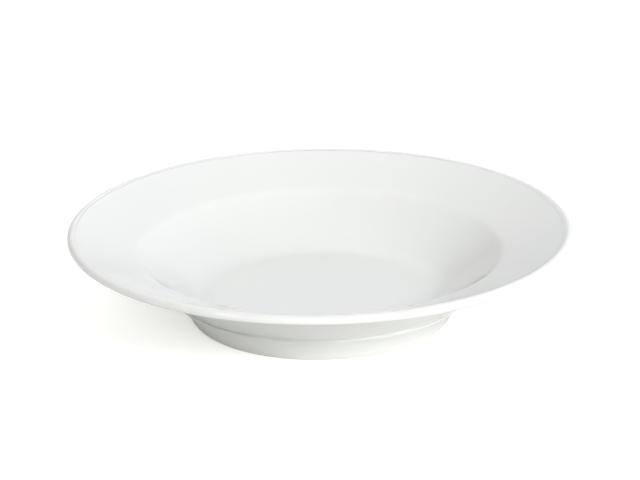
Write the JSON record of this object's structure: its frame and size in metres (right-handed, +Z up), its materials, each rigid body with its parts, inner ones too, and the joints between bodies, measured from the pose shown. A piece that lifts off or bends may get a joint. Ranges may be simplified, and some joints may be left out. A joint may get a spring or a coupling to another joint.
{
  "type": "deep plate",
  "caption": "Deep round plate of white glazed porcelain with a wide upswept rim, rolled lip, soft-edged well and tapered foot ring, for serving soup or pasta.",
  "frame": {"origin": "centre of the standing ring, on the plane that the plate stands on", "axes": "+Z up along the plate's axis of symmetry, out of the well; X and Y lie in the plane of the table"},
  "size_m": [0.24, 0.24, 0.0444],
  "materials": {
    "bare_porcelain": "bare fired porcelain, matt and slightly warm white, seen only on the standing ring",
    "white_glaze": "glossy clear glaze over white porcelain, smooth with a faint softness in its reflections"
  },
  "bodies": {
    "root": {"porcelain_body": "bare_porcelain", "outer_glaze_coat": "white_glaze", "base_glaze_coat": "white_glaze"}
  },
  "joints": []
}
